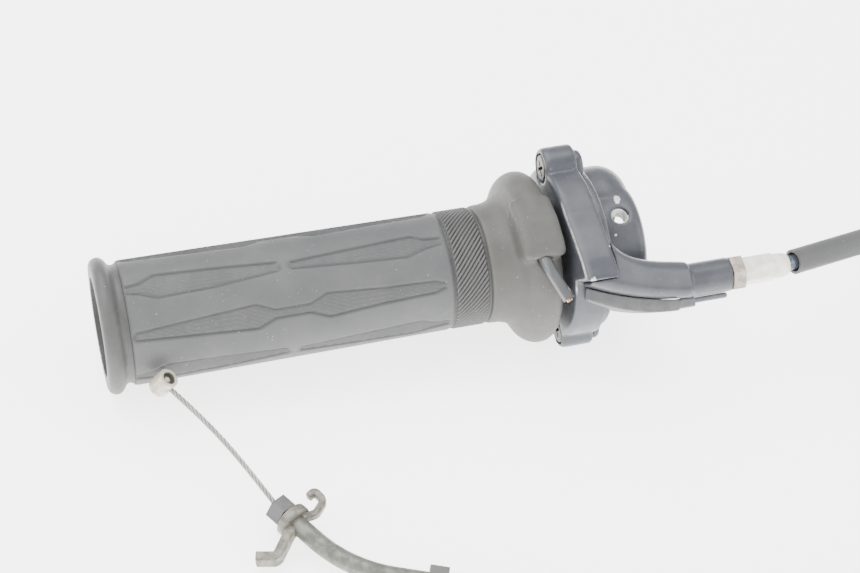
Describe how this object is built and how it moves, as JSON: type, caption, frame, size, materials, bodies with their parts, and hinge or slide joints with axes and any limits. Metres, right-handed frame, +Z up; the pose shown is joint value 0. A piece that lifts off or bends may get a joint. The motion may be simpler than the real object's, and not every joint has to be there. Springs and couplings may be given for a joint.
{
  "type": "throttle grip",
  "caption": "Right-hand motorcycle twist throttle: heated rubber grip on its tube and drum, cast housing with elbow and adjuster, and the pull cable to its nipple.",
  "frame": {"origin": "on the table, under the middle of the grip and its housing, without the cable", "axes": "+X inboard along the handlebar, from the open end of the grip to the housing, with the bar tilted by the grip's own flange; +Z up from the table it lies on; the cable leaves on the -Y side"},
  "size_m": [0.298, 0.145, 0.0516],
  "materials": {
    "grip_rubber": "matte black rubber, worn and dusty",
    "heater_film": "amber film with printed heating tracks",
    "heater_lead": "black cable sheath",
    "heater_lead_core": "bare copper strands",
    "throttle_tube": "moulded nylon",
    "drum_nipple": "cast zinc alloy",
    "drum_wire": "galvanised stranded wire",
    "drum_washer": "white acetal",
    "housing_cover": "satin black paint on cast alloy",
    "housing_body": "satin black paint on cast alloy",
    "cable_guide_cover": "matte moulded plastic",
    "guide_clip": "moulded plastic",
    "housing_screws": "blackened steel, worn at the recess",
    "elbow_wire": "galvanised stranded wire",
    "lock_nut": "zinc plated steel, corroded",
    "cable_adjuster": "zinc plated steel, corroded",
    "casing_ferrule": "black coated steel",
    "cable_sleeve": "black rubber",
    "cable_casing_upper": "black plastic over a wound steel conduit",
    "cable_coil": "black plastic over a wound steel conduit",
    "cable_casing_lower": "black plastic over a wound steel conduit",
    "hex_ferrule": "dark plated steel",
    "guide_pipe": "dark plated steel, worn to bright spots",
    "cable_bracket": "zinc plated stamped steel, stained",
    "pipe_nut": "black coated steel",
    "inner_wire": "galvanised stranded wire",
    "end_nipple": "cast zinc alloy, oxidised"
  },
  "bodies": {
    "housing": {"housing_body": "housing_body", "housing_cover": "housing_cover", "cable_guide_cover": "cable_guide_cover", "guide_clip": "guide_clip", "housing_screws": "housing_screws", "drum_washer": "drum_washer", "elbow_wire": "elbow_wire", "casing_ferrule": "casing_ferrule", "cable_sleeve": "cable_sleeve", "cable_casing_upper": "cable_casing_upper", "cable_coil": "cable_coil", "cable_casing_lower": "cable_casing_lower", "hex_ferrule": "hex_ferrule", "guide_pipe": "guide_pipe", "cable_bracket": "cable_bracket", "pipe_nut": "pipe_nut", "inner_wire": "inner_wire"},
    "grip": {"grip_rubber": "grip_rubber", "heater_film": "heater_film", "heater_lead": "heater_lead", "heater_lead_core": "heater_lead_core", "throttle_tube": "throttle_tube", "drum_nipple": "drum_nipple", "drum_wire": "drum_wire"},
    "cable_end": {"end_nipple": "end_nipple"},
    "adjuster": {"cable_adjuster": "cable_adjuster"},
    "lock_nut": {"lock_nut": "lock_nut"}
  },
  "joints": [
    {"name": "throttle_twist", "type": "hinge", "parent": "housing", "child": "grip", "pos_m": [0.03281, 0.00357, 0.02472], "axis": [-0.9988, 0, -0.0482], "range_deg": [0, 75]},
    {"name": "cable_pull", "type": "slide", "parent": "housing", "child": "cable_end", "axis": [0.4802, -0.8501, -0.2163], "range_m": [0, 0.02571], "deforming": ["inner_wire"]},
    {"name": "adjuster_turn", "type": "hinge", "parent": "housing", "child": "adjuster", "pos_m": [0.08756, -0.02023, 0.03129], "axis": [0.9988, 0, 0.0482], "range_deg": [-180, 180]},
    {"name": "lock_nut_turn", "type": "hinge", "parent": "housing", "child": "lock_nut", "pos_m": [0.07907, -0.02023, 0.03088], "axis": [0.9988, 0, 0.0482], "range_deg": [0, 360]}
  ],
  "couplings": [
    {"joint": "cable_pull", "follows": "throttle_twist", "m_per_rad": 0.0196}
  ]
}
